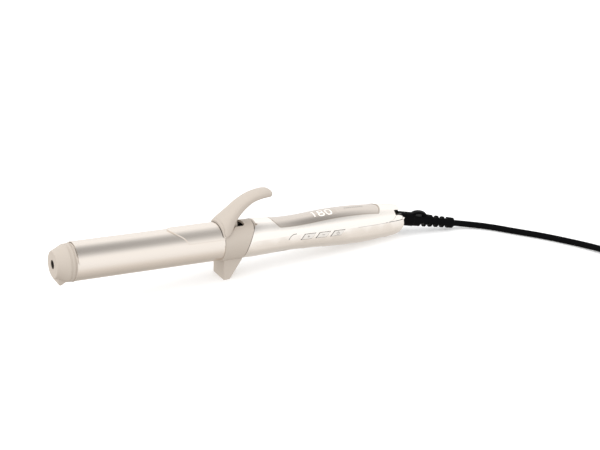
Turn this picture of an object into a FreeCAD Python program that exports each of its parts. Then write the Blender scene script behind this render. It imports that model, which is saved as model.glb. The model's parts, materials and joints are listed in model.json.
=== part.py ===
import FreeCAD, Part
import math
import os

# Curling iron with a spring clip, a thumb lever, a digital handle and a swivel mains cord.
# Millimetres. The row frame stands on the table: +X runs from the tip to the cord, +Z is up,
# and the origin is the centre of the guard foot's flat sole.
# The iron itself is drawn in its own axis frame (x along the barrel, z towards the clip),
# and tipped up by TILT so that it rests on the guard foot and on the rear of the handle.

V = FreeCAD.Vector
X_AXIS = V(1, 0, 0)
Y_AXIS = V(0, 1, 0)
Z_AXIS = V(0, 0, 1)

# ---- driving dimensions -----------------------------------------------------------------

TILT = 5.2                      # degrees, barrel axis above the table
BIG = 60.0                      # reach of the cutting bodies
GAP = 0.3                       # clearance between pieces that move against each other

BARREL_R = 16.0                 # 32 mm curling barrel
BARREL_WALL = 1.0
BARREL_FRONT = -142.0
BARREL_REAR = -2.0

CAP_FRONT = -158.0
CAP_BAND_R = 16.3
CAP_BAND_FRONT = -147.2
CAP_HOLE_R = 3.9
CAP_NUB_HALF = 6.6

CLIP_T = 0.7                    # sheet of the clip plate
CLIP_IN_R = BARREL_R + GAP
CLIP_OUT_R = CLIP_IN_R + CLIP_T
CLIP_HALF_ANGLE = 78.0
CLIP_FRONT = -141.3
SADDLE_T = 0.9                  # tongue bracket on top of the clip plate
SADDLE_OUT_R = CLIP_OUT_R + SADDLE_T
SADDLE_TIP = -57.0

PIVOT = V(6.0, 0, 9.5)          # hinge axis of the clip, along Y
PIN_R = 1.5
PIN_HALF = 13.0
PIN_PLAY = 0.05
BOSS_HALF = 4.4
BOSS_R = 3.2

COLLAR_R = 17.1
COLLAR_FRONT = -8.5
COLLAR_IN_R = 14.9
NOTCH_Z = 9.2                   # height of the lever notch at NOTCH_X
NOTCH_X = -9.4
NOTCH_SLOPE = 0.444
SLOT_HALF = 7.0
SLOT_REAR = 14.0
JOINT_GAP = 0.4                 # shadow line between the collar and the handle

FOOT_FRONT = -4.6
FOOT_SOLE = 5.6                 # length of the sole along the iron
FOOT_DEPTH = 32.8               # sole's front edge below the barrel axis
FOOT_HALF = 10.2

WALL = 2.0                      # handle shell
SPLIT_Z = 3.5                   # parting plane of the two handle shells
NOTCH = (169.5, 7.8, 11.6)      # open notch at the rear: its front, floor and top
END_COLLAR_REAR = 177.5
# station along the handle, height above the axis, depth below it, half width
HANDLE = [
    (4.0, 17.1, 17.0, 17.1),
    (24.0, 17.0, 16.8, 16.9),
    (42.0, 16.0, 16.3, 16.0),
    (58.0, 15.3, 16.0, 15.6),
    (76.0, 15.8, 16.5, 15.9),
    (96.0, 17.0, 17.3, 16.8),
    (118.0, 17.4, 18.2, 17.4),
    (136.0, 16.9, 18.4, 17.3),
    (152.0, 15.7, 17.7, 16.6),
    (166.0, 14.2, 16.8, 15.4),
    (175.0, 13.1, 15.9, 14.2),
    (179.5, 12.0, 14.2, 12.8),
    (181.5, 10.3, 11.8, 11.0),
]

PANEL_FRONT = 42.8              # control panel inlaid in the upper shell
PANEL_REAR = 155.0
PANEL_BULGE = 5.0
PANEL_HALF = 10.6
PANEL_SINK = 0.25
RIM_W = 0.9
RIM_RISE = 0.2

KEY_W = 10.3                    # push buttons on the side of the handle
KEY_SLANT = 3.6
KEY_BOTTOM = -1.3
KEY_TOP = 3.2
KEY_BACK = -12.4
KEY_RISE = 0.45
KEY_GAP = 0.45
KEY_PITCH = 15.0
KEY_FIRST = 67.4
KEY_NAMES = ("button_plus", "button_minus", "button_power")

SWIVEL_AT = V(183.7, 0, 15.5)   # a point on the swivel axis, in the row frame
SWIVEL_YAW = -18.9
SWIVEL_DROP = 9.6
HEAD_R = 6.6
HEAD_END = 29.4
FIRST_SLOT = 36.3
BOOT_END = 56.6
BOOT_R0 = 5.9
BOOT_R1 = 4.9
BOOT_CORE = 3.1
RIB_PITCH = 5.9
RIB_SLOT = 2.6                  # width of a slot at its root
HEAD_ROLL = -22.5               # the slots of the head and boot face up and away from the key side

CORD_D = 5.8
COIL_CENTRE = V(373.0, -157.0, 0)
COIL_R = 33.3                   # middle of the turns
COIL_HALF = 8.7                 # half the breadth of the bundle
COIL_BASE = 0.8
COIL_TOP = 16.9
TIE_T = 0.8
TIE_W = 12.0
TAIL_Z = 8.9
PLUG_L = 36.0
PLUG_W = 35.0
PLUG_H = 14.0
PIN_L = 19.0
PLUG_PIN_R = 2.0
PLUG_PIN_PITCH = 18.6

# ---- helpers ----------------------------------------------------------------------------


def flat(points):
    """Closed planar face through points."""
    return Part.Face(Part.makePolygon(list(points) + [points[0]]))


def prism_y(outline, y0, y1):
    """Outline in x, z pushed out along Y."""
    face = flat([V(x, y0, z) for x, z in outline])
    return face.extrude(V(0, y1 - y0, 0))


def prism_z(outline, z0, z1):
    """Outline in x, y pushed out along Z."""
    face = flat([V(x, y, z0) for x, y in outline])
    return face.extrude(V(0, 0, z1 - z0))


def box(x0, x1, y0, y1, z0, z1):
    return Part.makeBox(x1 - x0, y1 - y0, z1 - z0, V(x0, y0, z0))


def rod(radius, start, end):
    return Part.makeCylinder(radius, (end - start).Length, start, end - start)


def rod_x(radius, x0, x1, y=0.0, z=0.0):
    return Part.makeCylinder(radius, x1 - x0, V(x0, y, z), X_AXIS)


def turned(profile):
    """Profile of x and radius, turned about the X axis."""
    face = flat([V(x, 0, r) for x, r in profile])
    return face.revolve(V(0, 0, 0), X_AXIS, 360)


def joined(shapes):
    shapes = list(shapes)
    return shapes[0].multiFuse(shapes[1:]).removeSplitter() if len(shapes) > 1 else shapes[0]


def wire_run(points, radius):
    """Round wire through points, with ball corners."""
    pieces = [rod(radius, a, b) for a, b in zip(points, points[1:])]
    pieces += [Part.makeSphere(radius, p) for p in points[1:-1]]
    return joined(pieces)


def rounded(shape, radius, wanted):
    """Rounds the edges that wanted picks, and leaves the shape as it is if that can't be built."""
    edges = [e for e in shape.Edges if wanted(e)]
    try:
        made = shape.makeFillet(radius, edges)
    except Part.OCCError:
        return shape
    return made if made.isValid() and made.Volume > 0 else shape


def upright(edge):
    """A straight edge along Z."""
    a, b = edge.Vertexes[0].Point, edge.Vertexes[-1].Point
    return math.hypot(a.x - b.x, a.y - b.y) < 1e-6 and abs(a.z - b.z) > 1e-3


# ---- the iron's own frame in the row frame ----------------------------------------------

_tilt = math.radians(TILT)
SOLE_MID = V(
    FOOT_FRONT + FOOT_SOLE / 2 * math.cos(_tilt),
    0,
    -FOOT_DEPTH + FOOT_SOLE / 2 * math.sin(_tilt),
)
_turn = FreeCAD.Rotation(Y_AXIS, TILT)
IRON = FreeCAD.Placement(_turn.multVec(SOLE_MID) * -1, _turn)
SWIVEL = FreeCAD.Placement(
    SWIVEL_AT, FreeCAD.Rotation(Z_AXIS, SWIVEL_YAW) * FreeCAD.Rotation(Y_AXIS, SWIVEL_DROP)
)


def placed(shape, placement):
    return shape.transformed(placement.Matrix, True)


def save(name, shape, placement=IRON):
    """Writes one node in the row frame and prints its box and solids."""
    if placement is not None:
        shape = placed(shape, placement)
    solids = shape.Solids
    shape = solids[0] if len(solids) == 1 else Part.makeCompound(solids)
    shape.exportStep(os.path.join("parts", name + ".step"))
    b = shape.BoundBox
    print(
        f"{name:22s} solids {len(solids)} valid {shape.isValid()} volume {shape.Volume:9.1f} "
        f"x {b.XMin:7.2f} {b.XMax:7.2f} y {b.YMin:7.2f} {b.YMax:7.2f} z {b.ZMin:6.2f} {b.ZMax:6.2f}"
    )


# ---- tip, barrel and heater -------------------------------------------------------------


def tip_cap():
    """Cool tip: blunt cone with a grooved band, a rest nub below and a screw recess."""
    outer = [
        (CAP_FRONT, 0),
        (CAP_FRONT, 10.9),
        (CAP_FRONT + 0.2, 11.3),
        (CAP_FRONT + 0.6, 11.6),
        (-154.4, 12.9),
        (-151.0, 14.5),
        (-149.2, 15.4),
        (-148.0, 15.9),
        (CAP_BAND_FRONT - 0.2, 16.0),
        (CAP_BAND_FRONT, 15.6),
        (CAP_BAND_FRONT + 0.9, 15.6),
        (CAP_BAND_FRONT + 1.1, 15.9),
        (-144.0, 15.9),
        (-143.8, 15.6),
        (-143.2, 15.6),
        (-143.0, CAP_BAND_R),
        (BARREL_FRONT - 0.3, CAP_BAND_R),
        (BARREL_FRONT, CAP_BAND_R - 0.3),
        (BARREL_FRONT, BARREL_R - BARREL_WALL - 0.05),
        (BARREL_FRONT + 4, BARREL_R - BARREL_WALL - 0.05),
        (BARREL_FRONT + 4, 12.0),
        (-149.0, 11.0),
        (-149.0, 0),
    ]
    cap = turned(outer)
    nub = prism_y(
        [(-155.0, -9), (-154.8, -15.6), (-153.8, -16.6), (-152.4, -16.6), (-148.2, -14.0), (-148.2, -9)],
        -CAP_NUB_HALF,
        CAP_NUB_HALF,
    )
    nub = nub.cut(turned([(-157, 0), (-157, 11.0), (-147, 11.0), (-147, 0)]))
    cap = joined([cap, nub])
    recess = rod_x(CAP_HOLE_R, CAP_FRONT - 1, CAP_FRONT + 6.4)
    through = rod_x(1.7, CAP_FRONT, -144)
    return cap.cut(recess).cut(through)


def tip_bracket():
    """Steel disc across the barrel's front, with the boss that takes the cap's screw."""
    disc = rod_x(BARREL_R - BARREL_WALL - 0.1, -137.4, -136.2)
    boss = rod_x(3.0, -145.0, -136.2)
    vents = [
        rod_x(2.4, -138, -135, 9.5 * math.cos(math.radians(a)), 9.5 * math.sin(math.radians(a)))
        for a in (45, 135, 225, 315)
    ]
    plate = joined([disc, boss])
    for vent in vents:
        plate = plate.cut(vent)
    return plate.cut(rod_x(1.3, -146, -138.5))


def tip_screw():
    head = rod_x(2.7, CAP_FRONT + 4.4, CAP_FRONT + 6.4)
    shank = rod_x(1.3, CAP_FRONT + 6.4, -138.6)
    slots = [
        box(CAP_FRONT + 4.3, CAP_FRONT + 5.4, -1.7, 1.7, -0.35, 0.35),
        box(CAP_FRONT + 4.3, CAP_FRONT + 5.4, -0.35, 0.35, -1.7, 1.7),
    ]
    screw = joined([head, shank])
    for slot in slots:
        screw = screw.cut(slot)
    return screw


def barrel_tube():
    tube = rod_x(BARREL_R, BARREL_FRONT, BARREL_REAR)
    return tube.cut(rod_x(BARREL_R - BARREL_WALL, BARREL_FRONT - 1, BARREL_REAR + 1))


HEATER_X0 = -118.0
HEATER_X1 = -32.0
PTC_HALF_T = 1.6


def heater_block(side):
    """Half-round aluminium block that carries heat from the heater plate to the barrel."""
    block = rod_x(BARREL_R - BARREL_WALL - 0.1, HEATER_X0, HEATER_X1)
    low, high = (PTC_HALF_T, BIG) if side > 0 else (-BIG, -PTC_HALF_T)
    block = block.common(box(HEATER_X0 - 1, HEATER_X1 + 1, -BIG, BIG, low, high))
    for y, r in ((-7.6, 2.6), (0.0, 4.2), (7.6, 2.6)):
        z = side * (PTC_HALF_T + r + 1.8)
        block = block.cut(rod_x(r, HEATER_X0 - 1, HEATER_X1 + 1, y, z))
    return block


def ptc_heater():
    return box(HEATER_X0 + 4, HEATER_X1 + 1, -9.5, 9.5, -PTC_HALF_T, PTC_HALF_T)


def thermistor():
    bead = Part.makeSphere(1.3, V(-30.0, 3.0, 5.0))
    return joined([bead, rod_x(0.6, -30.0, -12.0, 3.0, 5.0)])


def thermal_fuse():
    body = rod_x(1.9, -30.0, -20.0, -2.0, -5.0)
    return joined([body, rod_x(0.5, -31.0, -12.0, -2.0, -5.0)])


def heater_leads():
    runs = []
    for y in (-5.0, 5.0):
        points = [V(HEATER_X1 + 1.1, y, 0), V(47, y, 0), V(54, y, 4.2)]
        runs.append(wire_run(points, 0.8))
    return Part.makeCompound(runs)


BUSH_END = 41.5


def barrel_bush():
    """Heat-proof bush that carries the barrel in the handle, cut flat under the clip hinge."""
    bush = joined(
        [
            rod_x(BARREL_R - BARREL_WALL - 0.05, -9.0, BARREL_REAR),
            rod_x(13.7, BARREL_REAR, BUSH_END),
        ]
    )
    bush = bush.cut(rod_x(6.6, -10, BUSH_END + 1))
    bush = bush.cut(box(BARREL_REAR, 28, -BIG, BIG, 5.0, BIG))
    return bush


# ---- clip, lever and hinge --------------------------------------------------------------


def arch(r_out, r_in, x0, x1, half_angle):
    """Part of a tube on top of the barrel, half_angle to each side."""
    pie = Part.makeCylinder(r_out, x1 - x0, V(x0, 0, 0), X_AXIS, half_angle * 2)
    pie.rotate(V(0, 0, 0), X_AXIS, 90 - half_angle - _pie_start(pie))
    return pie.cut(rod_x(r_in, x0 - 1, x1 + 1))


def _pie_start(pie):
    """Angle in degrees from +Y to the pie's first side."""
    centre = pie.CenterOfMass
    middle = math.degrees(math.atan2(centre.z, centre.y))
    half = 0.5 * _pie_angle(pie)
    return middle - half


def _pie_angle(pie):
    curved = [f for f in pie.Faces if f.Surface.TypeId == "Part::GeomCylinder"][0]
    u0, u1 = curved.ParameterRange[:2]
    return math.degrees(u1 - u0)


def below_notch(lift):
    """Everything behind the collar's front that lies under the sloping notch plane."""
    x0, x1 = COLLAR_FRONT - 0.5, BIG
    z0 = NOTCH_Z + NOTCH_SLOPE * (x0 - NOTCH_X) + lift
    z1 = NOTCH_Z + NOTCH_SLOPE * (x1 - NOTCH_X) + lift
    return prism_y([(x0, -BIG), (x0, z0), (x1, z1), (x1, -BIG)], -BIG, BIG)


PLATE_REAR = -2.4


def clip_plate():
    """Curved clip that holds the hair on the barrel, with rounded front corners."""
    plate = arch(CLIP_OUT_R, CLIP_IN_R, CLIP_FRONT, PLATE_REAR, CLIP_HALF_ANGLE)
    edge_z = CLIP_IN_R * math.cos(math.radians(CLIP_HALF_ANGLE))
    corner = prism_y(
        [(CLIP_FRONT - 1, edge_z - 4), (CLIP_FRONT - 1, edge_z + 3.4), (CLIP_FRONT + 0.6, edge_z + 1.3),
         (CLIP_FRONT + 2.2, edge_z + 0.2), (CLIP_FRONT + 4, edge_z - 4)],
        -BIG,
        BIG,
    )
    return plate.cut(corner).cut(below_notch(GAP))


def clip_saddle():
    """Tongue bracket that ties the clip plate to the lever."""
    ring = arch(SADDLE_OUT_R, CLIP_OUT_R, SADDLE_TIP - 1, PLATE_REAR, 62)
    half = SADDLE_OUT_R * math.sin(math.radians(60))
    side = [(-40.5, half), (-45.5, 12.6), (-50.5, 8.8), (-54.5, 5.0), (-56.4, 2.2)]
    curve = Part.BSplineCurve()
    points = side + [(SADDLE_TIP, 0)] + [(x, -y) for x, y in reversed(side)]
    curve.interpolate(
        Points=[V(x, y, 0) for x, y in points],
        InitialTangent=X_AXIS * -1,
        FinalTangent=X_AXIS,
    )
    start, end = points[0], points[-1]
    back = Part.makePolygon([V(*end, 0), V(0, end[1], 0), V(0, start[1], 0), V(*start, 0)])
    outline = Part.Face(Part.Wire([curve.toShape()] + back.Edges))
    tongue = outline.extrude(V(0, 0, BIG))
    return ring.common(tongue).cut(below_notch(GAP))


# The lever is lofted: top of each section (x, z), bottom of it (x, z) and its half width.
LEVER = [
    (-10.8, 8.0, -3.0, 4.6, 15.4),
    (-11.2, 13.4, -0.6, 9.8, 14.9),
    (-10.2, 18.8, 2.6, 14.8, 13.2),
    (-6.2, 23.6, 5.4, 19.6, 11.0),
    (-0.2, 29.2, 9.6, 25.0, 9.2),
    (7.4, 35.9, 15.0, 30.0, 8.1),
    (16.8, 41.4, 21.6, 34.6, 7.6),
    (26.2, 44.3, 28.6, 36.8, 7.4),
    (33.6, 45.2, 34.4, 37.6, 7.1),
    (38.2, 44.4, 38.4, 37.9, 6.2),
    (40.4, 42.5, 40.4, 39.2, 3.8),
]
LEVER_ROUND = 2.5               # exponent of the section's rounding


def in_between(rows, steps):
    """The rows with steps - 1 more between each two, on a smooth curve through them."""
    made = []
    for k in range(len(rows) - 1):
        b, c = rows[k], rows[k + 1]
        a = rows[k - 1] if k else [2 * p - q for p, q in zip(b, c)]
        d = rows[k + 2] if k + 2 < len(rows) else [2 * p - q for p, q in zip(c, b)]
        for i in range(steps):
            t = i / steps
            made.append(
                [
                    0.5 * (2 * q + (r - p) * t + (2 * p - 5 * q + 4 * r - s) * t**2
                           + (3 * q - 3 * r + s - p) * t**3)
                    for p, q, r, s in zip(a, b, c, d)
                ]
            )
    return made + [rows[-1]]


def lever_ring(x_top, z_top, x_low, z_low, half_width, points=24):
    """Points round a section, closed, from the near side of the lever over its top."""
    mid = V((x_top + x_low) / 2, 0, (z_top + z_low) / 2)
    up = V((x_top - x_low) / 2, 0, (z_top - z_low) / 2)
    ring = []
    for i in range(points + 1):
        a = 2 * math.pi * (i % points) / points - math.pi / 2
        c, s = math.cos(a), math.sin(a)
        side = math.copysign(abs(c) ** (2 / LEVER_ROUND), c)
        rise = math.copysign(abs(s) ** (2 / LEVER_ROUND), s)
        ring.append(mid + Y_AXIS * (half_width * side) + up * rise)
    return ring


def skinned(rings):
    """Solid with one smooth face through the rings and a flat face on each end."""
    surface = Part.BSplineSurface()
    surface.interpolate(rings)
    first, last = surface.bounds()[:2]
    ends = [Part.Face(Part.Wire([surface.uIso(u).toShape()])) for u in (first, last)]
    shell = Part.Shell([surface.toShape()] + ends)
    shell.sewShape()
    solid = Part.Solid(shell)
    if solid.Volume < 0:
        solid.reverse()
    return solid


def clip_lever():
    horn = skinned([lever_ring(*row) for row in in_between(LEVER, 2)])
    inside = rod_x(SADDLE_OUT_R, -BIG, BARREL_REAR + GAP)
    horn = horn.cut(inside).cut(below_notch(GAP))
    horn = horn.cut(prism_y([(-BIG, -BIG), (-BIG, 9.0), (-4, 9.0), (-4, -BIG)], -BIG, BIG))
    horn = max(horn.Solids, key=lambda s: s.Volume)
    knuckle = Part.makeCylinder(
        BOSS_R, 2 * BOSS_HALF, V(PIVOT.x, -BOSS_HALF, PIVOT.z), Y_AXIS
    )
    neck = prism_y(
        [(PIVOT.x - BOSS_R, PIVOT.z), (-1.4, 15.4), (3.0, 20.5), (6.2, 21.8), (PIVOT.x + BOSS_R, PIVOT.z)],
        -BOSS_HALF,
        BOSS_HALF,
    )
    lever = joined([horn, neck, knuckle])
    bore = Part.makeCylinder(
        PIN_R + PIN_PLAY, 4 * BOSS_HALF, V(PIVOT.x, -2 * BOSS_HALF, PIVOT.z), Y_AXIS
    )
    return lever.cut(bore)


RIVET_ANGLE = 18.0
RIVET_X = -6.2


def clip_rivets():
    """Two flush rivets that hold the plate, the tongue bracket and the lever together."""
    pins = []
    for angle in (-RIVET_ANGLE, RIVET_ANGLE):
        out = V(0, math.sin(math.radians(angle)), math.cos(math.radians(angle)))
        at = V(RIVET_X, 0, 0)
        pins.append(rod(1.2, at + out * (CLIP_IN_R + 0.05), at + out * (SADDLE_OUT_R + 2.0)))
    return Part.makeCompound(pins)


def clip_hinge_pin():
    return Part.makeCylinder(PIN_R, 2 * PIN_HALF, V(PIVOT.x, -PIN_HALF, PIVOT.z), Y_AXIS)


SPRING_WIRE = 0.45
SPRING_R = 2.2
SPRING_TURNS = 2
SPRING_Y = 5.15


def clip_torsion_spring():
    """Torsion spring round the hinge pin: one leg on the bush, one under the lever."""
    pitch = 2 * SPRING_WIRE + 0.12
    helix = Part.makeHelix(pitch, pitch * SPRING_TURNS, SPRING_R)
    ring = Part.Wire(Part.makeCircle(SPRING_WIRE, V(SPRING_R, 0, 0), Y_AXIS))
    coil = Part.Wire(helix.Edges).makePipeShell([ring], True, True)
    coil.rotate(V(0, 0, 0), X_AXIS, -90)
    coil.translate(V(PIVOT.x, SPRING_Y, PIVOT.z))
    at = V(PIVOT.x + SPRING_R, SPRING_Y, PIVOT.z)
    last = at + V(0, pitch * SPRING_TURNS, 0)
    legs = [
        wire_run([at, at + V(0.2, 0, -3.2), at + V(9.5, 0, -3.6)], SPRING_WIRE),
        wire_run([last, last + V(0.6, -0.2, 2.0), last + V(-1.6, -1.2, 6.4)], SPRING_WIRE),
    ]
    ends = [Part.makeSphere(SPRING_WIRE, at), Part.makeSphere(SPRING_WIRE, last)]
    return joined([coil] + legs + ends)


# ---- guard collar and foot --------------------------------------------------------------


def behind_joint(shift):
    """Everything behind the curved joint between the collar and the handle."""
    low, mid, high = V(12.6 + shift, -BIG, -22), V(13.9 + shift, -BIG, 0), V(31.6 + shift, -BIG, 22)
    arc = Part.Arc(low, mid, high).toShape()
    back = Part.makePolygon([high, V(4 * BIG, -BIG, 22), V(4 * BIG, -BIG, -22), low])
    return Part.Face(Part.Wire([arc] + back.Edges)).extrude(V(0, 2 * BIG, 0))


def guard_collar():
    """Heat guard round the barrel's rear, notched for the lever and slotted for its boss."""
    ring = turned(
        [
            (COLLAR_FRONT, BARREL_R),
            (COLLAR_FRONT, COLLAR_R - 0.35),
            (COLLAR_FRONT + 0.35, COLLAR_R),
            (34, COLLAR_R - 0.2),
            (34, COLLAR_IN_R),
            (BARREL_REAR, COLLAR_IN_R),
            (BARREL_REAR, BARREL_R),
        ]
    )
    ring = ring.cut(behind_joint(0))
    x0, x1 = COLLAR_FRONT - 1, BIG
    notch = prism_y(
        [
            (x0, NOTCH_Z + NOTCH_SLOPE * (x0 - NOTCH_X)),
            (x1, NOTCH_Z + NOTCH_SLOPE * (x1 - NOTCH_X)),
            (x1, BIG),
            (x0, BIG),
        ],
        -BIG,
        BIG,
    )
    slot = box(COLLAR_FRONT - 1, SLOT_REAR, -SLOT_HALF, SLOT_HALF, 9.0, BIG)
    slot = rounded(slot, 3.0, lambda e: upright(e) and e.Vertexes[0].Point.x > 0)
    holes = Part.makeCylinder(PIN_R, 2 * PIN_HALF + 0.2, V(PIVOT.x, -PIN_HALF - 0.1, PIVOT.z), Y_AXIS)
    return ring.cut(notch).cut(slot).cut(holes)


def rest_foot():
    """Wedge under the collar. Its sole is level when the iron is tipped up by TILT."""
    rise = math.tan(_tilt)
    rear = FOOT_FRONT + FOOT_SOLE * math.cos(_tilt)
    outline = [
        (FOOT_FRONT, -FOOT_DEPTH),
        (rear, -FOOT_DEPTH + (rear - FOOT_FRONT) * rise),
        (11.6, -14.6),
        (11.6, -9),
        (-6.2, -9),
    ]
    foot = prism_y(outline, -FOOT_HALF, FOOT_HALF)
    cheeks = Part.makeCylinder(13.0, 40, V(-20, 0, -21.5), X_AXIS)
    foot = foot.common(joined([cheeks, box(-20, 20, -FOOT_HALF, FOOT_HALF, -24.0, 0)]).fuse(
        box(-20, 20, -FOOT_HALF, FOOT_HALF, -40, -21.5)))
    foot = foot.cut(rod_x(COLLAR_R, -BIG, BIG))
    return max(foot.Solids, key=lambda s: s.Volume)


def foot_screws():
    screws = []
    for y in (-5.5, 5.5):
        top = -math.sqrt(COLLAR_IN_R**2 - y**2) - 0.6
        head = Part.makeCylinder(1.9, 0.9, V(3.0, y, top), Z_AXIS)
        shank = Part.makeCylinder(0.9, 7.5, V(3.0, y, top - 7.5), Z_AXIS)
        screws.append(joined([head, shank]))
    return Part.makeCompound(screws)


# ---- handle -----------------------------------------------------------------------------


def oval(x, top, bottom, half_width, points=24):
    ring = []
    for i in range(points):
        a = 2 * math.pi * i / points
        height = top if math.sin(a) >= 0 else bottom
        ring.append(V(x, half_width * math.cos(a), height * math.sin(a)))
    curve = Part.BSplineCurve()
    curve.interpolate(ring, PeriodicFlag=True)
    return Part.Wire(curve.toShape())


def handle_body(grow):
    """Solid handle outline, larger all round by grow."""
    wires = [oval(x, t + grow, b + grow, w + grow) for x, t, b, w in HANDLE]
    return Part.makeLoft(wires, True, False)


OUTER = handle_body(0)
INNER = handle_body(-WALL)
ABOVE = box(-BIG, 5 * BIG, -BIG, BIG, SPLIT_Z, BIG)


def panel_prism(grow):
    """Control panel's outline seen from above, with bowed ends."""
    half = PANEL_HALF + grow
    x0, x1 = PANEL_FRONT - grow, PANEL_REAR + grow
    front = Part.Arc(V(x0 + PANEL_BULGE, -half, 5), V(x0, 0, 5), V(x0 + PANEL_BULGE, half, 5)).toShape()
    rear = Part.Arc(V(x1 - PANEL_BULGE, half, 5), V(x1, 0, 5), V(x1 - PANEL_BULGE, -half, 5)).toShape()
    sides = [
        Part.makeLine(V(x0 + PANEL_BULGE, half, 5), V(x1 - PANEL_BULGE, half, 5)),
        Part.makeLine(V(x1 - PANEL_BULGE, -half, 5), V(x0 + PANEL_BULGE, -half, 5)),
    ]
    solid = Part.Face(Part.Wire([front, sides[0], rear, sides[1]])).extrude(V(0, 0, 30))
    return rounded(solid, 3.0, upright)


def key_prism(index, grow):
    """Slanted outline of one side button, through the handle's near wall."""
    x0 = KEY_FIRST + KEY_PITCH * index
    x1 = x0 + KEY_W
    low, high = KEY_BOTTOM - grow, KEY_TOP + grow
    slope = KEY_SLANT / (KEY_TOP - KEY_BOTTOM)
    lean = slope * grow
    side = grow * math.hypot(1, slope)
    outline = [
        (x0 - side - lean, low),
        (x1 + side - lean, low),
        (x1 + KEY_SLANT + side + lean, high),
        (x0 + KEY_SLANT - side + lean, high),
    ]
    return prism_y(outline, -BIG, KEY_BACK)


BOSS_XS = (46.0, 157.5)
SCREW_TOP = 9.0
SWIVEL_BORE = placed(rod_x(HEAD_R + 0.4, -4, 40), IRON.inverse().multiply(SWIVEL))


def handle_lower_shell():
    shell = OUTER.cut(INNER).cut(ABOVE)
    bosses = [
        Part.makeCylinder(3.3, SPLIT_Z + 16, V(x, 0, -16), Z_AXIS).common(OUTER) for x in BOSS_XS
    ]
    shell = joined([shell] + bosses)
    shell = shell.common(behind_joint(JOINT_GAP))
    for x in BOSS_XS:
        shell = shell.cut(Part.makeCylinder(2.6, 10, V(x, 0, -20), Z_AXIS))
        shell = shell.cut(Part.makeCylinder(1.5, 40, V(x, 0, -20), Z_AXIS))
    for index in range(len(KEY_NAMES)):
        shell = shell.cut(key_prism(index, KEY_GAP))
    return shell.cut(SWIVEL_BORE)


def rear_corner(grow):
    """Side view of what lies behind and below the upper shell's swept rear corner."""
    front, floor, _ = NOTCH
    sweep = [(front, floor), (front - 0.9, 6.6), (front - 3.0, 5.2), (front - 6.0, 4.2), (front - 10.5, SPLIT_Z)]
    line = [(x - grow, z + grow * 0.8) for x, z in sweep]
    return prism_y(line + [(front - 10.5, -BIG), (3 * BIG, -BIG), (3 * BIG, floor + grow)], -BIG, BIG)


def notch():
    front, floor, top = NOTCH
    middle = box(160, 5 * BIG, -5.0, 5.0, 0, BIG)
    return box(front, 5 * BIG, -BIG, BIG, floor, top).cut(middle)


def handle_upper_shell():
    shell = OUTER.cut(INNER).common(ABOVE)
    bosses = [
        Part.makeCylinder(3.3, 20, V(x, 0, SPLIT_Z), Z_AXIS).common(INNER) for x in BOSS_XS
    ]
    shell = shell.common(behind_joint(JOINT_GAP)).cut(panel_prism(RIM_W))
    seats = [boss.cut(panel_prism(RIM_W + 0.1)) for boss in bosses[:1]] + bosses[1:]
    shell = joined([shell] + [s for s in seats if s.Volume > 1])
    shell = shell.cut(rear_corner(GAP * 0.5)).cut(notch())
    shell = shell.cut(box(END_COLLAR_REAR, 5 * BIG, -BIG, BIG, -BIG, BIG)).cut(SWIVEL_BORE)
    for x in BOSS_XS:
        shell = shell.cut(Part.makeCylinder(1.25, SCREW_TOP, V(x, 0, 0), Z_AXIS))
    return max(shell.Solids, key=lambda s: s.Volume)


def end_collar():
    """Rear block of the handle below the notch, both sides tied by a rib inside."""
    behind = box(150, END_COLLAR_REAR, -BIG, BIG, SPLIT_Z, BIG)
    sides = OUTER.cut(INNER).common(behind).common(rear_corner(0))
    core = handle_body(-WALL - 0.1)
    rib = core.common(box(171.0, 173.2, -BIG, BIG, SPLIT_Z, BIG)).cut(handle_body(-WALL - 2.4))
    feet = OUTER.common(box(171.0, 173.2, -BIG, BIG, SPLIT_Z, NOTCH[1])).cut(box(160, 180, -9.5, 9.5, 0, BIG))
    seat = placed(rod_x(9.3, -9.7, -1.0), IRON.inverse().multiply(SWIVEL))
    return joined([sides, rib, feet]).cut(SWIVEL_BORE).cut(seat)


def shell_screws():
    screws = []
    for x in BOSS_XS:
        head = Part.makeCylinder(2.4, 1.6, V(x, 0, -11.6), Z_AXIS)
        shank = Part.makeCylinder(1.2, SCREW_TOP + 9.8, V(x, 0, -10.0), Z_AXIS)
        cross = box(x - 1.5, x + 1.5, -0.3, 0.3, -12, -10.8)
        screws.append(joined([head, shank]).cut(cross))
    return Part.makeCompound(screws)


def control_panel():
    skin = handle_body(-PANEL_SINK).cut(INNER)
    panel = skin.common(panel_prism(0))
    return panel.cut(display_outline())


def panel_rim():
    ring = panel_prism(RIM_W).cut(panel_prism(0))
    return handle_body(RIM_RISE).cut(INNER).common(ring)


def display_outline():
    return prism_z([(83.5, -6.2), (108.5, -6.2), (108.5, 6.2), (83.5, 6.2)], 5, BIG)


def display_window():
    return handle_body(-PANEL_SINK).cut(handle_body(-1.4)).common(display_outline())


BOARD_Z = 5.2
BOARD_T = 1.4


def control_board():
    board = box(52, 150, -9.2, 9.2, BOARD_Z, BOARD_Z + BOARD_T)
    chips = [
        box(116, 124, -4, 4, BOARD_Z + BOARD_T, BOARD_Z + BOARD_T + 1.6),
        box(132, 140, -6, 0, BOARD_Z + BOARD_T, BOARD_Z + BOARD_T + 4.0),
        box(62, 70, 1, 7, BOARD_Z + BOARD_T, BOARD_Z + BOARD_T + 3.0),
    ]
    return joined([board] + chips)


def display_module():
    return box(84, 108, -6, 6, BOARD_Z + BOARD_T, 13.4)


def button_board():
    return box(64, 116, -9.9, -8.7, -5.0, 5.0)


def tact_switches():
    switches = []
    for index in range(len(KEY_NAMES)):
        x = key_middle(index)
        body = box(x - 3, x + 3, -10.9, -9.9, -2.0, 4.0)
        stem = Part.makeCylinder(1.3, 0.8, V(x, -10.9, 1.0), Y_AXIS * -1)
        switches.append(joined([body, stem]))
    return Part.makeCompound(switches)


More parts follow.
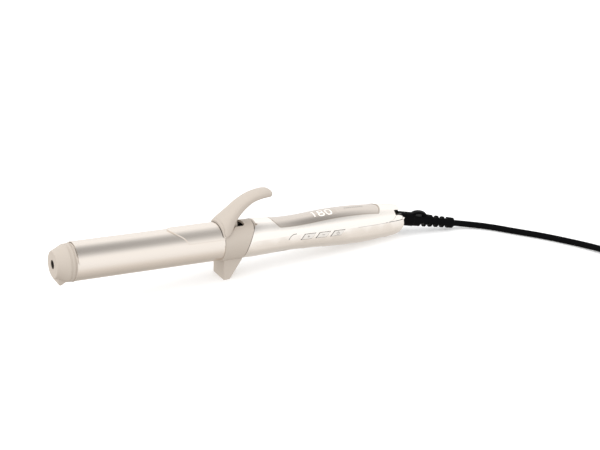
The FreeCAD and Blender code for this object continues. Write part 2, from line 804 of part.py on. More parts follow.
def key_middle(index):
    return KEY_FIRST + KEY_PITCH * index + (KEY_W + KEY_SLANT) / 2


def push_button(index):
    """Slanted key whose face follows the handle and stands a little proud of it."""
    key = handle_body(KEY_RISE).common(key_prism(index, 0))
    return max(key.Solids, key=lambda s: s.Volume)


# ---- swivel and strain relief -----------------------------------------------------------


def swivel_socket():
    """Ring in the rear of the handle that the swivel head turns in."""
    ring = turned([(-9.5, HEAD_R + 0.3), (-9.5, 9.2), (-1.2, 9.2), (-1.2, HEAD_R + 0.3)])
    groove = turned([(-6.6, HEAD_R), (-6.6, 8.0), (-3.6, 8.0), (-3.6, HEAD_R)])
    ring = placed(ring.cut(groove), SWIVEL)
    shelf = placed(INNER, IRON)
    return ring.common(shelf)


def relief_slot(x, up):
    """Wedge that opens away from the axis, above it (up=1) or below it (up=-1)."""
    root, outer = RIB_SLOT / 2, RIB_SLOT / 2 + 1.45
    section = [(x - root, 2.4), (x + root, 2.4), (x + outer, 9), (x - outer, 9)]
    wedge = prism_y([(px, up * pz) for px, pz in section], -BIG, BIG)
    return wedge.cut(rod_x(BOOT_CORE, x - 6, x + 6))


def rolled(shape):
    shape = shape.copy()
    shape.rotate(V(0, 0, 0), X_AXIS, HEAD_ROLL)
    return shape


def swivel_head():
    """Swivel head with its flange in the socket and the hanging loop on top."""
    head = turned(
        [
            (-9.0, 0),
            (-9.0, 6.2),
            (-6.3, 6.2),
            (-6.3, 7.6),
            (-3.9, 7.6),
            (-3.9, HEAD_R),
            (15.6, HEAD_R),
            (16.2, 6.2),
            (HEAD_END, 6.0),
            (HEAD_END, 0),
        ]
    )
    for x in (FIRST_SLOT - 2 * RIB_PITCH, FIRST_SLOT - RIB_PITCH):
        head = head.cut(relief_slot(x, -1))
    loop = Part.makeCylinder(7.9, 4.4, V(0, -2.2, 0), Y_AXIS)
    eye = Part.makeCylinder(4.3, 7.6, V(0, -3.8, 0), Y_AXIS)
    squash = FreeCAD.Matrix()
    squash.scale(V(1, 1, 0.55))
    loop = loop.transformGeometry(squash)
    eye = eye.transformGeometry(squash)
    loop.translate(V(21.2, 0, 4.6))
    eye.translate(V(21.2, 0, 4.6))
    loop = loop.common(box(0, HEAD_END - 0.2, -5, 5, 4.0, 20))
    return joined([rolled(head), loop]).cut(eye.common(box(0, HEAD_END, -BIG, BIG, 4.4, BIG)))


def cord_boot():
    """Ribbed strain relief: deep slots above and below, joined by a web on each side."""
    boot = turned(
        [
            (HEAD_END, 0),
            (HEAD_END, BOOT_R0),
            (BOOT_END - 0.8, BOOT_R1),
            (BOOT_END, BOOT_R1 - 0.8),
            (BOOT_END, 0),
        ]
    )
    boot = boot.cut(relief_slot(FIRST_SLOT - RIB_PITCH, -1))
    for i in range(3):
        boot = boot.cut(relief_slot(FIRST_SLOT + RIB_PITCH * i, 1))
        boot = boot.cut(relief_slot(FIRST_SLOT + RIB_PITCH * i, -1))
    return rolled(boot)


def power_leads():
    """Two inner wires from the swivel to the board."""
    runs = []
    for y in (-5.0, 5.0):
        points = [V(168.5, y * 0.4 + 3.0, 0.6), V(158.0, y, 1.0), V(148.0, y, BOARD_Z - 0.9)]
        runs.append(wire_run(points, 0.8))
    return Part.makeCompound(runs)


# ---- mains cord -------------------------------------------------------------------------

BOOT_TIP = SWIVEL.multVec(V(BOOT_END, 0, 0))
CORD_Z = CORD_D / 2 + 0.05
ROUTE = [
    BOOT_TIP,
    SWIVEL.multVec(V(BOOT_END + 15.6, 0, 0)),
    V(266.5, -36.5, CORD_Z),
    V(280.5, -55.0, CORD_Z),
    V(298.0, -76.5, CORD_Z),
    V(314.0, -101.0, CORD_Z),
    V(326.0, -124.0, CORD_Z + 0.6),
    V(333.2, -146.0, CORD_Z + 0.9),
    V(334.0, -163.0, CORD_Z + 0.9),
]
TAIL = [
    V(412.3, -163.0, TAIL_Z),
    V(412.8, -146.0, TAIL_Z - 0.4),
    V(411.6, -131.0, PLUG_H / 2),
    V(411.6, -118.0, PLUG_H / 2),
]
PLUG_AT = TAIL[-1]


def cord_tube(name, points):
    """Straight runs joined by tangent arcs, each arc as large as its two runs allow."""
    edges, here, length = [], points[0], 0.0
    for before, corner, after in zip(points, points[1:], points[2:]):
        a, b = corner - before, after - corner
        turn = a.getAngle(b)
        reach = 0.45 * min(a.Length, b.Length)
        radius = reach / math.tan(turn / 2)
        a.normalize()
        b.normalize()
        start, end = corner - a * reach, corner + b * reach
        toward = (b - a).normalize()
        sag = radius * (1 / math.cos(turn / 2) - 1)
        edges.append(Part.makeLine(here, start))
        edges.append(Part.Arc(start, corner + toward * sag, end).toShape())
        length += (start - here).Length + radius * turn
        here = end
        print(f"  {name} turn {math.degrees(turn):5.1f} deg radius {radius:6.1f}")
    edges.append(Part.makeLine(here, points[-1]))
    length += (points[-1] - here).Length
    path = Part.Wire(edges)
    ring = Part.Wire(Part.makeCircle(CORD_D / 2, points[0], points[1] - points[0]))
    tube = path.makePipeShell([ring], True, False)
    ideal = math.pi * CORD_D**2 / 4 * length
    print(f"  {name} length {length:.1f} volume ratio {tube.Volume / ideal:.4f}")
    return tube


def cord_coil():
    """Outer shape of the stored turns of cord."""
    r0, r1, c = COIL_R - COIL_HALF, COIL_R + COIL_HALF, 2.4
    profile = [
        V(r0 + c, 0, COIL_BASE), V(r1 - c, 0, COIL_BASE), V(r1, 0, COIL_BASE + c), V(r1, 0, COIL_TOP - c),
        V(r1 - c, 0, COIL_TOP), V(r0 + c, 0, COIL_TOP), V(r0, 0, COIL_TOP - c), V(r0, 0, COIL_BASE + c),
    ]
    ring = flat(profile).revolve(V(0, 0, 0), Z_AXIS, 360)
    ring.translate(COIL_CENTRE)
    return ring


def cord_tie():
    """Strap round the stored turns."""
    y0, y1 = COIL_R - COIL_HALF - 0.8, COIL_R + COIL_HALF
    half = TIE_W / 2
    band = box(-half, half, y0 - TIE_T, y1 + TIE_T, 0, COIL_TOP + TIE_T)
    band = rounded(band, 2.6, lambda e: abs(e.Length - TIE_W) < 1e-6)
    hole = box(-BIG, BIG, y0, y1, COIL_BASE, COIL_TOP)
    hole = rounded(hole, 1.8, lambda e: abs(e.Length - 2 * BIG) < 1e-6)
    band = band.cut(hole)
    band.translate(COIL_CENTRE)
    return band


def plug_body():
    """Flat two-pin plug, waisted towards the cord."""
    half = PLUG_W / 2
    outline = [(0, -4.2), (10, -6.2), (20, -half + 3), (24, -half), (PLUG_L, -half),
               (PLUG_L, half), (24, half), (20, half - 3), (10, 6.2), (0, 4.2)]
    body = prism_z(outline, -PLUG_H / 2, PLUG_H / 2)
    body = rounded(body, 2.0, lambda e: e.Length > 1.0 and not upright(e) and _on_rim(e))
    holes = [rod_x(PLUG_PIN_R, PLUG_L - 8, PLUG_L + 1, y, 0) for y in plug_pin_ys()]
    for hole in holes:
        body = body.cut(hole)
    return body


def _on_rim(edge):
    return abs(abs(edge.CenterOfMass.z) - PLUG_H / 2) < 1e-3


def plug_pin_ys():
    return (-PLUG_PIN_PITCH / 2, PLUG_PIN_PITCH / 2)


def plug_pins():
    pins = []
    for y in plug_pin_ys():
        pin = rod_x(PLUG_PIN_R, PLUG_L - 8, PLUG_L + PIN_L, y, 0)
        pins.append(rounded(pin, 0.9, lambda e: abs(e.CenterOfMass.x - PLUG_L - PIN_L) < 1e-3))
    return Part.makeCompound(pins)


PLUG = FreeCAD.Placement(PLUG_AT, FreeCAD.Rotation(Z_AXIS, 90))

# ---- write the nodes --------------------------------------------------------------------

os.makedirs("parts", exist_ok=True)

save("tip_cap", tip_cap())
save("tip_screw", tip_screw())
save("tip_bracket", tip_bracket())
save("barrel_tube", barrel_tube())
save("heater_upper_block", heater_block(1))
save("heater_lower_block", heater_block(-1))
save("ptc_heater", ptc_heater())
save("thermistor", thermistor())
save("thermal_fuse", thermal_fuse())
save("heater_leads", heater_leads())
save("barrel_bush", barrel_bush())

plate_rivets = clip_rivets()
save("clip_plate", clip_plate().cut(plate_rivets))
save("clip_saddle", clip_saddle().cut(plate_rivets))
save("clip_lever", clip_lever().cut(plate_rivets))
save("clip_rivets", plate_rivets)
save("clip_hinge_pin", clip_hinge_pin())
save("clip_torsion_spring", clip_torsion_spring())

fixings = foot_screws()
save("guard_collar", guard_collar().cut(fixings))
save("rest_foot", rest_foot().cut(fixings))
save("foot_screws", fixings)

save("handle_lower_shell", handle_lower_shell())
save("handle_upper_shell", handle_upper_shell())
save("end_collar", end_collar())
save("shell_screws", shell_screws())
save("panel_rim", panel_rim())
save("control_panel", control_panel())
save("display_window", display_window())
save("display_module", display_module())
save("control_board", control_board())
save("button_board", button_board())
save("tact_switches", tact_switches())
for number, key_name in enumerate(KEY_NAMES):
    save(key_name, push_button(number))

save("swivel_socket", swivel_socket(), None)
save("swivel_head", swivel_head(), SWIVEL)
save("cord_boot", cord_boot(), SWIVEL)
save("power_leads", power_leads())

save("power_cord", cord_tube("power_cord", ROUTE), None)
save("cord_coil", cord_coil(), None)
save("cord_tie", cord_tie(), None)
save("cord_tail", cord_tube("cord_tail", TAIL), None)
save("plug_body", plug_body(), PLUG)
save("plug_pins", plug_pins(), PLUG)

sole = IRON.multVec(SOLE_MID)
pivot = IRON.multVec(PIVOT)
print("sole centre", sole, "pivot", pivot, "axis point", IRON.multVec(V(0, 0, 0)))
print("key press direction +Y, swivel axis", SWIVEL.Rotation.multVec(X_AXIS), "boot tip", BOOT_TIP)
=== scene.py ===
import json
import math

import bpy
from mathutils import Matrix, Vector
from mathutils.bvhtree import BVHTree


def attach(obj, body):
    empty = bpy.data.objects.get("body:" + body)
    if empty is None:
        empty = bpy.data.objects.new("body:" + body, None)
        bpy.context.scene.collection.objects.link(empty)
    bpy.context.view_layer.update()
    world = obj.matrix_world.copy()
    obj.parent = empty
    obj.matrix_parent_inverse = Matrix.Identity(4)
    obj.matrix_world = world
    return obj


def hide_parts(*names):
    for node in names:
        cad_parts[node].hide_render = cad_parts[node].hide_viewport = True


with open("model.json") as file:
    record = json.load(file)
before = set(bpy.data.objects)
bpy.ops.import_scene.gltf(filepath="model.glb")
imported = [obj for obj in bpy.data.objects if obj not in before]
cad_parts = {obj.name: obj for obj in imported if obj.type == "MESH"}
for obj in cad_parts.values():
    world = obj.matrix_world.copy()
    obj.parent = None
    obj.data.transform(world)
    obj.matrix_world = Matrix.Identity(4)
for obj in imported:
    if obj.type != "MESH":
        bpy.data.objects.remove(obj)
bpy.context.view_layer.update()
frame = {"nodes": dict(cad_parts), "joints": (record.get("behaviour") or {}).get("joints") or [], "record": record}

NODES = frame["nodes"]
MM = 0.001

# ---- the iron's own axes ----------------------------------------------------------------
# The barrel dips towards the cord. IRON takes millimetres along the barrel's axis (x), across
# it (y) and towards the clip (z) to the row frame.
DIP = math.radians(5.2)
HINGE_IN_IRON = Vector((6.0, 0.0, 9.5))
joints = {j["name"]: j for j in frame["joints"]}
IRON = (
    Matrix.Translation(Vector(joints["clip_hinge"]["pos_m"]))
    @ Matrix.Rotation(DIP, 4, "Y")
    @ Matrix.Scale(MM, 4)
    @ Matrix.Translation(-HINGE_IN_IRON)
)
# SWIVEL does the same for the swivel head: x along its axis, away from the handle.
SWIVEL_YAW, SWIVEL_DROP = math.radians(-18.9), math.radians(9.6)
SWIVEL = (
    Matrix.Translation(Vector(joints["cord_swivel"]["pos_m"]))
    @ Matrix.Rotation(SWIVEL_YAW, 4, "Z")
    @ Matrix.Rotation(SWIVEL_DROP, 4, "Y")
    @ Matrix.Scale(MM, 4)
)


def added(name, data):
    """New object in the scene."""
    made = bpy.data.objects.new(name, data)
    bpy.context.scene.collection.objects.link(made)
    return made


# ---- camera -----------------------------------------------------------------------------
CAMERA_AT = Vector((-0.4531, -0.9133, 0.5220))
LOOK = Vector((0.45660, 0.78360, -0.42128))
ROLL = math.radians(0.83)

camera_data = bpy.data.cameras.new("camera")
camera_data.lens = 78
camera_data.sensor_width = 36
camera = added("camera", camera_data)
camera.rotation_mode = "QUATERNION"
camera.matrix_world = (
    Matrix.Translation(CAMERA_AT)
    @ LOOK.to_track_quat("-Z", "Y").to_matrix().to_4x4()
    @ Matrix.Rotation(ROLL, 4, "Z")
)
bpy.context.scene.camera = camera
bpy.context.scene.view_settings.view_transform = "Standard"


# ---- materials --------------------------------------------------------------------------


def material(name, colour, rough, metal=0.0, coat=0.0, grain=900.0, bump=0.03, vary=0.03,
             drift=25.0, spread=0.15, stretch=(1, 1, 1), **sockets):
    """Principled material with fine grain in bump and roughness and slow drift in colour."""
    made = bpy.data.materials.new(name)
    made.use_nodes = True
    nodes, links = made.node_tree.nodes, made.node_tree.links
    shader = nodes["Principled BSDF"]
    where = nodes.new("ShaderNodeTexCoord")
    turned = nodes.new("ShaderNodeMapping")
    turned.inputs["Rotation"].default_value = (0, DIP, 0)
    turned.inputs["Scale"].default_value = stretch
    links.new(where.outputs["Object"], turned.inputs["Vector"])
    fine = nodes.new("ShaderNodeTexNoise")
    fine.inputs["Scale"].default_value = grain
    fine.inputs["Detail"].default_value = 3
    links.new(turned.outputs["Vector"], fine.inputs["Vector"])
    slow = nodes.new("ShaderNodeTexNoise")
    slow.inputs["Scale"].default_value = drift
    slow.inputs["Detail"].default_value = 2
    links.new(where.outputs["Object"], slow.inputs["Vector"])
    mix = nodes.new("ShaderNodeMix")
    mix.data_type = "RGBA"
    mix.inputs["A"].default_value = [min(1, c * (1 - vary)) for c in colour] + [1]
    mix.inputs["B"].default_value = [min(1, c * (1 + vary)) for c in colour] + [1]
    links.new(slow.outputs["Fac"], mix.inputs["Factor"])
    links.new(mix.outputs["Result"], shader.inputs["Base Color"])
    level = nodes.new("ShaderNodeMapRange")
    level.inputs["From Min"].default_value = 0.3
    level.inputs["From Max"].default_value = 0.7
    level.inputs["To Min"].default_value = rough * (1 - spread)
    level.inputs["To Max"].default_value = rough * (1 + spread)
    links.new(fine.outputs["Fac"], level.inputs["Value"])
    links.new(level.outputs["Result"], shader.inputs["Roughness"])
    relief = nodes.new("ShaderNodeBump")
    relief.inputs["Strength"].default_value = bump
    relief.inputs["Distance"].default_value = 0.0002
    links.new(fine.outputs["Fac"], relief.inputs["Height"])
    links.new(relief.outputs["Normal"], shader.inputs["Normal"])
    shader.inputs["Metallic"].default_value = metal
    shader.inputs["Coat Weight"].default_value = coat
    for socket, value in sockets.items():
        shader.inputs[socket.replace("_", " ")].default_value = value
    return made


FINISH = {
    "champagne_metal": material("champagne_metal", (0.86, 0.79, 0.72), 0.25, metal=1.0,
                                grain=2400, bump=0.004, vary=0.012, spread=0.05),
    "beige_plastic": material("beige_plastic", (0.57, 0.505, 0.44), 0.42, grain=2600, bump=0.03,
                              Specular_IOR_Level=0.3),
    "champagne_shell": material("champagne_shell", (0.97, 0.92, 0.865), 0.13, metal=1.0,
                                grain=2400, bump=0.003, vary=0.01, spread=0.05),
    "panel_film": material("panel_film", (0.70, 0.635, 0.575), 0.16, metal=1.0,
                           grain=2400, bump=0.004, vary=0.012, spread=0.05),
    # The rim's colour is set darker than the panel film's as painted shade: the dark band along the panel's edge.
    "panel_rim": material("panel_rim", (0.62, 0.56, 0.50), 0.18, metal=1.0,
                          grain=2400, bump=0.004, spread=0.05),
    "display_lens": material("display_lens", (0.66, 0.595, 0.535), 0.10, metal=1.0,
                             grain=2400, bump=0.004, spread=0.05),
    "display_module": material("display_module", (0.55, 0.50, 0.46), 0.35, grain=1500),
    "button": material("button", (0.86, 0.82, 0.77), 0.22, metal=0.6, coat=0.4,
                       grain=1500, bump=0.01),
    "black_plastic": material("black_plastic", (0.0025, 0.0025, 0.003), 0.45,
                              grain=2200, bump=0.10, Specular_IOR_Level=0.05),
    "black_rubber": material("black_rubber", (0.003, 0.003, 0.0035), 0.55,
                             grain=1800, bump=0.12, Specular_IOR_Level=0.04),
    "steel": material("steel", (0.60, 0.59, 0.57), 0.32, metal=1.0, grain=900),
    "spring_steel": material("spring_steel", (0.48, 0.48, 0.49), 0.28, metal=1.0, grain=900),
    "aluminium": material("aluminium", (0.74, 0.75, 0.76), 0.36, metal=1.0,
                          grain=400, stretch=(0.1, 1, 1)),
    "heater_ceramic": material("heater_ceramic", (0.80, 0.77, 0.70), 0.55, grain=1500),
    "sensor_glass": material("sensor_glass", (0.55, 0.30, 0.10), 0.15, grain=1500, coat=0.4),
    "board": material("board", (0.03, 0.16, 0.06), 0.40, coat=0.3,
                      grain=700, vary=0.15, drift=120),
    "switch_metal": material("switch_metal", (0.62, 0.62, 0.60), 0.34, metal=1.0, grain=900),
    "lead_insulation": material("lead_insulation", (0.66, 0.63, 0.58), 0.60, grain=2500, bump=0.2),
    "bush_plastic": material("bush_plastic", (0.055, 0.05, 0.045), 0.55, grain=1800, bump=0.1),
    "lamp_white": material("lamp_white", (0.86, 0.80, 0.74), 0.5, grain=1500, bump=0.0,
                           Emission_Color=(1.0, 0.95, 0.90, 1.0), Emission_Strength=0.22),
    # Dark grey for printed signs and marks, and also painted shade along the shells' seam.
    "print_and_seam_shade_grey": material("print_and_seam_shade_grey", (0.16, 0.145, 0.13), 0.5, grain=1500, bump=0.0),
    # Near black painted shade, put on the tip's screw, in gaps and joints and in the tip's hole where shade falls.
    "painted_shade_dark": material("painted_shade_dark", (0.035, 0.028, 0.022), 0.8, grain=1500, bump=0.0),
    "pin_metal": material("pin_metal", (0.78, 0.77, 0.74), 0.16, metal=1.0, grain=900),
}
slots = {s["node"]: s["material_slot"] for s in frame["record"]["subparts"]}
for name, node in NODES.items():
    node.data.materials.clear()
    node.data.materials.append(FINISH[slots[name]])
# The tip's screw is painted near black as painted shade: it sits deep in its hole, where no light reaches it.
NODES["tip_screw"].data.materials[0] = FINISH["painted_shade_dark"]


def painted_shade_within(base, name, half_width):
    """Copy of a material with painted shade: near black where it is closer than half_width to y=0."""
    made = base.copy()
    made.name = name
    nodes, links = made.node_tree.nodes, made.node_tree.links
    colour = nodes["Principled BSDF"].inputs["Base Color"]
    where = nodes.new("ShaderNodeTexCoord")
    apart = nodes.new("ShaderNodeSeparateXYZ")
    links.new(where.outputs["Object"], apart.inputs["Vector"])
    across = nodes.new("ShaderNodeMath")
    across.operation = "ABSOLUTE"
    links.new(apart.outputs["Y"], across.inputs[0])
    inside = nodes.new("ShaderNodeMath")
    inside.operation = "LESS_THAN"
    inside.inputs[1].default_value = half_width
    links.new(across.outputs["Value"], inside.inputs[0])
    mix = nodes.new("ShaderNodeMix")
    mix.data_type = "RGBA"
    mix.inputs["B"].default_value = (0.012, 0.009, 0.007, 1)
    links.new(inside.outputs["Value"], mix.inputs["Factor"])
    links.new(colour.links[0].from_socket, mix.inputs["A"])
    links.new(mix.outputs["Result"], colour)
    return made


RECESS_SHADE_HALF = 0.0118            # half width of the painted shade for the dark recess at the handle's rear
# The end collar is painted near black across its middle, as painted shade for the recess at the handle's rear.
NODES["end_collar"].data.materials[0] = painted_shade_within(
    FINISH["champagne_shell"], "end_collar", RECESS_SHADE_HALF
)


def finish(piece, slot, body, look=None):
    """Gives a new piece its body and the material of its look, else of its slot."""
    piece.data.materials.clear()
    piece.data.materials.append(FINISH[look or slot])
    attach(piece, body)
    return piece


# ---- printed marks, painted shade in joints, gaps and holes, and lips ---------------------
TO_IRON = IRON.inverted()
depsgraph = bpy.context.evaluated_depsgraph_get()
depsgraph.update()
skins = {}


def skin(name):
    """The surface of a node in the iron's millimetres, ready for ray casts."""
    if name not in skins:
        node = NODES[name]
        mesh = node.evaluated_get(depsgraph).to_mesh()
        place = TO_IRON @ node.matrix_world
        skins[name] = BVHTree.FromPolygons(
            [place @ v.co for v in mesh.vertices], [tuple(p.vertices) for p in mesh.polygons]
        )
    return skins[name]


def span(name):
    """Lowest and highest corner of a node in the iron's millimetres."""
    node = NODES[name]
    place = TO_IRON @ node.matrix_world
    points = [place @ v.co for v in node.data.vertices]
    return [Vector([pick(p[k] for p in points) for k in range(3)]) for pick in (min, max)]


def touch(hosts, start, ray, lift):
    """First point of the host nodes on a ray, lifted along the surface normal."""
    best = None
    for host in hosts:
        spot, normal, _, distance = skin(host).ray_cast(start, ray)
        if spot is not None and (best is None or distance < best[0]):
            best = (distance, spot, normal)
    if best is None:
        return None
    normal = best[2] if best[2].dot(ray) < 0 else -best[2]
    return best[1] + normal * lift


RAY_FROM = 60                   # millimetres from the axis, outside every piece


def from_side(a, b, side=-1):
    """Ray that comes in across the iron at x=a, z=b, from the key side (-1) or the other."""
    return Vector((a, side * RAY_FROM, b)), Vector((0, -side, 0))


def from_top(a, b):
    """Ray that comes down on the iron at x=a, y=b."""
    return Vector((a, b, RAY_FROM)), Vector((0, 0, -1))


def from_axis(a, b):
    """Ray that comes in radially at x=a, b degrees round the axis from the top."""
    out = Vector((0, math.sin(math.radians(b)), math.cos(math.radians(b))))
    return Vector((a, 0, 0)) + out * RAY_FROM, -out


def resampled(path, step):
    """The same path with points no further apart than step."""
    out = []
    for (x0, y0), (x1, y1) in zip(path, path[1:]):
        n = max(1, math.ceil(math.hypot(x1 - x0, y1 - y0) / step))
        out += [(x0 + (x1 - x0) * i / n, y0 + (y1 - y0) * i / n) for i in range(n)]
    return out + [path[-1]]


def stroke(verts, faces, path, width, hosts, aim, lift, step=0.6):
    """Adds a flat raised ribbon that follows a path over the hosts' surface."""
    points = resampled(path, step)
    closed = math.dist(points[0], points[-1]) < 1e-6
    rows = []
    for i, (a, b) in enumerate(points):
        before = points[i - 1] if i else (points[-2] if closed else points[0])
        after = points[i + 1] if i + 1 < len(points) else (points[1] if closed else points[-1])
        da, db = after[0] - before[0], after[1] - before[1]
        size = math.hypot(da, db) or 1
        na, nb = -db / size, da / size
        row = [
            touch(hosts, *aim(a + na * width * k, b + nb * width * k), lift * high)
            for k, high in ((-0.5, 0.35), (-0.3, 1), (0.3, 1), (0.5, 0.35))
        ]
        rows.append(row if all(p is not None for p in row) else None)
    for one, two in zip(rows, rows[1:]):
        if one and two:
            for k in range(3):
                corners = (one[k], one[k + 1], two[k + 1], two[k])
                verts += corners
                faces.append(tuple(range(len(verts) - 4, len(verts))))


def marks(name, look, slot, body, paths, width, hosts, aim, lift=0.06):
    """One piece made of ribbons, given in the iron's millimetres."""
    verts, faces = [], []
    for path in paths:
        stroke(verts, faces, path, width, hosts, aim, lift)
    mesh = bpy.data.meshes.new(name)
    mesh.from_pydata([IRON @ v for v in verts], [], faces)
    return finish(added(name, mesh), slot, body, look)


def loop_path(a, b, ra, rb, turn=(0, 360), power=1.0, n=20):
    """Oval, or a squarer shape for a small power, about a, b."""
    out = []
    for i in range(n + 1):
        t = math.radians(turn[0] + (turn[1] - turn[0]) * i / n)
        c, d = math.cos(t), math.sin(t)
        out.append((
            a + ra * math.copysign(abs(c) ** power, c),
            b + rb * math.copysign(abs(d) ** power, d),
        ))
    return out


shells = ["handle_upper_shell", "handle_lower_shell", "end_collar"]
window_low, window_high = span("display_window")
DIGIT_SHIFT = (-3.5, -3.0)      # from the window's middle, towards the tip and the key side
digit_x = (window_low.x + window_high.x) / 2 + DIGIT_SHIFT[0]
digit_y = (window_low.y + window_high.y) / 2 + DIGIT_SHIFT[1]
tall, wide = 3.6, 2.6           # half height and half width of a digit
digits = [
    [
        (digit_x - 8.8, digit_y + tall - 1.2),
        (digit_x - 7.2, digit_y + tall),
        (digit_x - 7.2, digit_y - tall),
    ],
    loop_path(digit_x, digit_y + tall / 2 + 0.1, wide - 0.4, tall / 2 - 0.1, power=0.7),
    loop_path(digit_x, digit_y - tall / 2, wide, tall / 2, power=0.7),
    loop_path(digit_x + 8.0, digit_y, wide, tall, power=0.6),
]
marks("display_digits", "lamp_white", "display_module", "handle", digits, 1.3,
      ["display_window", "control_panel"], from_top, 0.05)

# Strokes of each key's sign about the key's middle, x, z.
SIGNS = {
    "plus": lambda x, z: [[(x - 1.1, z), (x + 1.1, z)], [(x, z - 1.1), (x, z + 1.1)]],
    "minus": lambda x, z: [[(x - 1.2, z), (x + 1.2, z)]],
    "power": lambda x, z: [
        loop_path(x, z - 0.1, 1.3, 1.2, (125, 415)),
        [(x, z + 0.2), (x, z + 1.7)],
    ],
}
for key, strokes in SIGNS.items():
    low, high = span("button_" + key)
    paths = strokes((low.x + high.x) / 2, (low.z + high.z) / 2)
    marks(key + "_sign", "print_and_seam_shade_grey", "button", key + "_key", paths, 0.42,
          ["button_" + key], from_side, 0.03)

swoosh = [(54.6, -0.2), (55.3, 1.3), (56.4, 2.7), (57.8, 3.7), (59.6, 4.3), (62.4, 4.5)]
marks("grip_mark", "print_and_seam_shade_grey", "champagne_shell", "handle", [swoosh], 0.55,
      shells, from_side, 0.04)

# Lip along the lever's front edge, and a near black line in front of it: painted shadow in the gap between the lip
# and the saddle.
lip_x = span("clip_lever")[0].x
lip = [(lip_x + 1.0, b) for b in range(-60, 61, 4)]
marks("lever_lip", "beige_plastic", "beige_plastic", "clip", [lip], 1.5,
      ["clip_lever", "clip_saddle"], from_axis, 0.55)
shadow = [(lip_x - 0.15, b) for b in range(-54, 55, 3)]
marks("lever_gap_shade", "painted_shade_dark", "champagne_metal", "clip", [shadow], 0.7,
      ["clip_saddle"], from_axis, 0.05)

# Joint lines, painted shade: dark ribbons for the shade in the shells' seam, stronger at the rear, and in the gap
# at the edge of the guard collar.
SEAM_Z = 3.45
SEAM_FROM, SEAM_DEEPENS, SEAM_TO = 126.0, 157.0, 177.0
COLLAR_EDGE = [(22.7, 6), (22.5, 23), (21.3, 37), (19.7, 49), (17.2, 64)]
for side, word in ((-1, "key"), (1, "far")):

    def aim(a, b, side=side):
        return from_side(a, b, side)

    seam = [(SEAM_FROM, SEAM_Z), (SEAM_DEEPENS, SEAM_Z)]
    marks(word + "_seam", "print_and_seam_shade_grey", "champagne_shell", "handle", [seam], 0.22,
          shells, aim, 0.03)
    rear_seam = [(SEAM_DEEPENS, SEAM_Z), (SEAM_TO, SEAM_Z)]
    marks(word + "_rear_seam_shade", "painted_shade_dark", "champagne_shell", "handle", [rear_seam], 0.42,
          shells, aim, 0.03)
    edge = [(a, b * side) for a, b in COLLAR_EDGE]
    marks(word + "_collar_shade_line", "painted_shade_dark", "beige_plastic", "handle", [edge], 0.55,
          ["guard_collar"], from_axis, 0.04)

# Row of plain ticks on the panel, behind the display.
TICK_FROM, TICK_PITCH, TICKS = 119.0, 2.1, 10
tick_xs = [TICK_FROM + TICK_PITCH * i for i in range(TICKS)]
marks("panel_scale", "print_and_seam_shade_grey", "panel_film", "handle", [[(x, -2.2), (x, -0.2)] for x in tick_xs],
      0.7, ["control_panel"], from_top, 0.03)

# Near black sleeve inside the hole in the tip: painted shade for the dark of the hole.
cap_front = span("tip_cap")[0].x
HOLE_R, HOLE_DEPTH, SIDES = 3.84, 6.2, 32
verts, faces = [], []
RINGS = ((0.5, HOLE_R), (2.0, HOLE_R - 0.05), (HOLE_DEPTH, HOLE_R - 0.1), (HOLE_DEPTH, 2.8))
for depth, radius in RINGS:
    for k in range(SIDES):
        a = 2 * math.pi * k / SIDES
        verts.append(IRON @ Vector((cap_front + depth, radius * math.cos(a), radius * math.sin(a))))
for ring in range(len(RINGS) - 1):
    for k in range(SIDES):
        one, two = ring * SIDES + k, ring * SIDES + (k + 1) % SIDES
        faces.append((one, two, two + SIDES, one + SIDES))
hole_shade_mesh = bpy.data.meshes.new("tip_hole_shade")
hole_shade_mesh.from_pydata(verts, [], faces)
finish(added("tip_hole_shade", hole_shade_mesh), "beige_plastic", "handle", "painted_shade_dark")

# ---- mains cord -------------------------------------------------------------------------
CORD_D = 0.0058
ROUTE = [
    (236.50, -18.08, 6.06),
    (251.05, -23.06, 3.46),
    (266.5, -36.5, 2.95),
    (280.5, -55.0, 2.95),
    (298.0, -76.5, 2.95),
    (314.0, -101.0, 2.95),
    (326.0, -124.0, 3.55),
    (333.2, -146.0, 3.85),
]
TAIL = [
    (412.8, -149.0, 13.4),
    (412.0, -132.0, 7.6),
    (411.6, -118.0, 7.0),
]
COIL_CENTRE = (373.0, -157.0)
# The coil is wound three turns wide: radius and height of the cord's middle, turn after turn.
TURNS = [
    (39.1, 3.85),
    (33.3, 3.6),
    (27.5, 3.6),
    (27.5, 9.2),
    (33.3, 9.2),
    (39.1, 9.2),
    (33.4, 14.8),
    (39.2, 14.8),
]
POINTS_PER_TURN = 16
COIL_FROM, COIL_SWEEP = 180.0, 7 * 360 + 165.0


def eased(x):
    """Smooth step from 0 to 1."""
    x = min(1.0, max(0.0, x))
    return x * x * (3 - 2 * x)


def coil_points():
    """Control points of the turns. Each turn climbs first, then moves in or out to the next."""
    count = round(COIL_SWEEP / 360 * POINTS_PER_TURN)
    outside = 1 / math.cos(math.pi / POINTS_PER_TURN)
    points = []
    for i in range(1, count + 1):
        sweep = COIL_SWEEP * i / count
        k = min(int(sweep / 360), len(TURNS) - 1)
        (r0, z0), (r1, z1) = TURNS[k], TURNS[min(k + 1, len(TURNS) - 1)]
        part = sweep / 360 - k
        r = (r0 + (r1 - r0) * eased((part - 0.68) / 0.32)) * outside
        z = z0 + (z1 - z0) * eased((part - 0.5) / 0.3)
        a = math.radians(COIL_FROM + sweep)
        points.append((COIL_CENTRE[0] + r * math.cos(a), COIL_CENTRE[1] + r * math.sin(a), z))
    return points


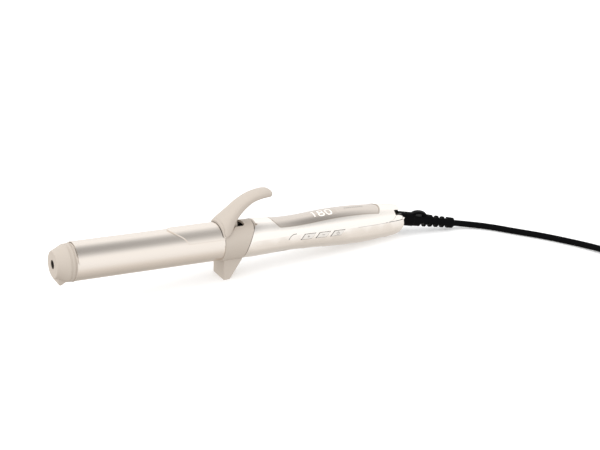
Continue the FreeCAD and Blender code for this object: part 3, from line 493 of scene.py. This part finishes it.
def spline(name, points, radius):
    """Round cord along control points in millimetres."""
    curve = bpy.data.curves.new(name, "CURVE")
    curve.dimensions = "3D"
    curve.bevel_depth = radius
    curve.bevel_resolution = 8
    curve.resolution_u = 8
    line = curve.splines.new("NURBS")
    line.points.add(len(points) - 1)
    for point, at in zip(line.points, points):
        point.co = (at[0] * MM, at[1] * MM, at[2] * MM, 1)
    line.order_u = 3
    line.use_endpoint_u = True
    curve.use_fill_caps = True
    return added(name, curve)


cord = spline("mains_cord", ROUTE + coil_points() + TAIL, CORD_D / 2)
finish(cord, "black_rubber", "handle")
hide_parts("power_cord", "cord_coil", "cord_tail")

# ---- room -------------------------------------------------------------------------------
FLOOR = 6.0                     # half width in metres
corners = [(-FLOOR, -FLOOR, 0), (FLOOR, -FLOOR, 0), (FLOOR, FLOOR, 0), (-FLOOR, FLOOR, 0)]
floor_mesh = bpy.data.meshes.new("floor")
floor_mesh.from_pydata(corners, [], [(0, 1, 2, 3)])
floor = added("floor", floor_mesh)
floor_mesh.materials.append(
    material("floor", (0.93, 0.93, 0.93), 0.9, grain=40, bump=0.0, vary=0.01, drift=3,
             Emission_Color=(1.0, 1.0, 1.0, 1.0), Emission_Strength=0.22)
)
floor.visible_glossy = False
floor.visible_diffuse = False

world = bpy.data.worlds.new("studio")
bpy.context.scene.world = world
world.use_nodes = True
nodes, links = world.node_tree.nodes, world.node_tree.links
where = nodes.new("ShaderNodeTexCoord")
tilted = nodes.new("ShaderNodeMapping")
tilted.inputs["Rotation"].default_value = (math.radians(-10.4), math.radians(-6), 0)
apart = nodes.new("ShaderNodeSeparateXYZ")
height = nodes.new("ShaderNodeMapRange")
height.inputs["From Min"].default_value = -1.0
height.inputs["From Max"].default_value = 1.0
ramp = nodes.new("ShaderNodeValToRGB")
links.new(where.outputs["Generated"], tilted.inputs["Vector"])
links.new(tilted.outputs["Vector"], apart.inputs["Vector"])
links.new(apart.outputs["Z"], height.inputs["Value"])
links.new(height.outputs["Result"], ramp.inputs["Fac"])
links.new(ramp.outputs["Color"], nodes["Background"].inputs["Color"])
nodes["Background"].inputs["Strength"].default_value = 1.12
# Brightness by elevation in degrees: bright low walls, a darker ceiling, a grey table below.
SKY = [
    (-90, 0.24), (-77, 0.42), (-61, 0.55), (-45, 0.64), (-30, 0.76), (-10, 0.91), (10, 0.97),
    (40, 1.0), (50, 0.82), (56, 0.66), (60, 0.54), (65, 0.43), (70, 0.36), (90, 0.33),
]
stops = []
for angle, value in SKY:
    warm = min(1.0, max(0.0, (-angle - 5) / 30))    # the table's reflection is a little warmer
    tint = (value, value * (1 - 0.055 * warm), value * (1 - 0.115 * warm), 1)
    stops.append(((math.sin(math.radians(angle)) + 1) / 2, tint))
elements = ramp.color_ramp.elements
elements[0].position, elements[0].color = stops[0]
elements[1].position, elements[1].color = stops[-1]
for position, tint in stops[1:-1]:
    elements.new(position).color = tint


def area_light(name, at, size, power):
    """Round soft light that faces the iron and leaves no highlight of its own."""
    lamp = bpy.data.lights.new(name, "AREA")
    lamp.shape = "DISK"
    lamp.size = size
    lamp.energy = power
    made = added(name, lamp)
    made.location = at
    made.rotation_euler = (LIT - Vector(at)).to_track_quat("-Z", "Y").to_euler()
    made.visible_glossy = False


LIT = Vector((0.1, 0, 0))       # the point that the lights face
area_light("overhead", (0.0, -0.3, 1.9), 2.2, 16)
area_light("left", (-1.9, 0.1, 0.9), 1.2, 8)
